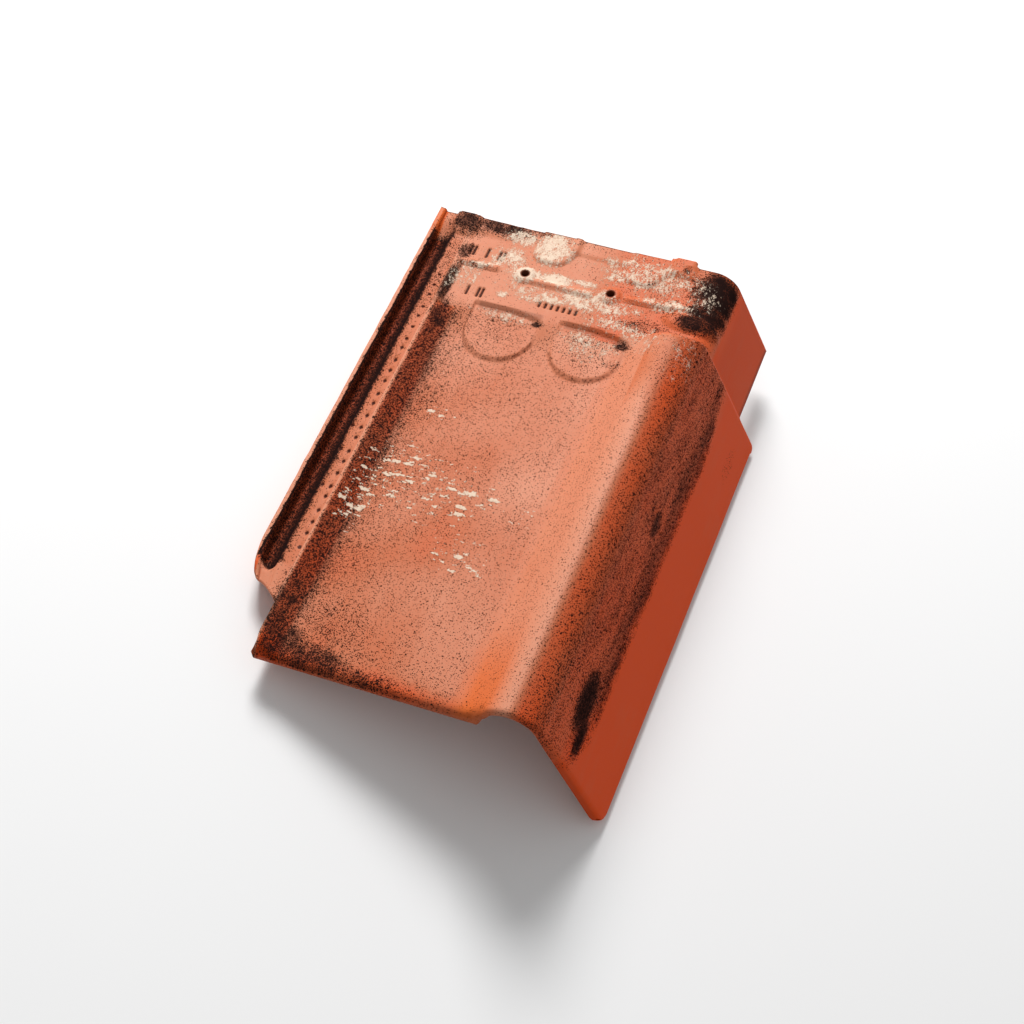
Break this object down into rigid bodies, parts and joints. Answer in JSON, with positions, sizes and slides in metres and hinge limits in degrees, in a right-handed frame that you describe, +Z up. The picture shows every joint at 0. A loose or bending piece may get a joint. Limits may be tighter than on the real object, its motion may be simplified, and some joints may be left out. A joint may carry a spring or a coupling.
{
  "type": "clay verge roof tile",
  "caption": "Interlocking clay roof tile for a right-hand verge, with a side lock, a shallow pan, a raised roll and a deep side flap.",
  "frame": {"origin": "centre of the footprint on the floor that the tile lies on", "axes": "+Y up the slope from the foot to the head edge, +X from the side lock to the flap, +Z up from the floor; the tile lies as it rests unheld, turned 18.7 degrees about Y from the way it is laid on a roof"},
  "size_m": [0.2648, 0.373, 0.09],
  "materials": {
    "fired_clay": "unglazed fired clay, matt, speckled dark, with smoke staining and lime splashes"
  },
  "bodies": {
    "root": {"tile": "fired_clay"}
  },
  "joints": []
}
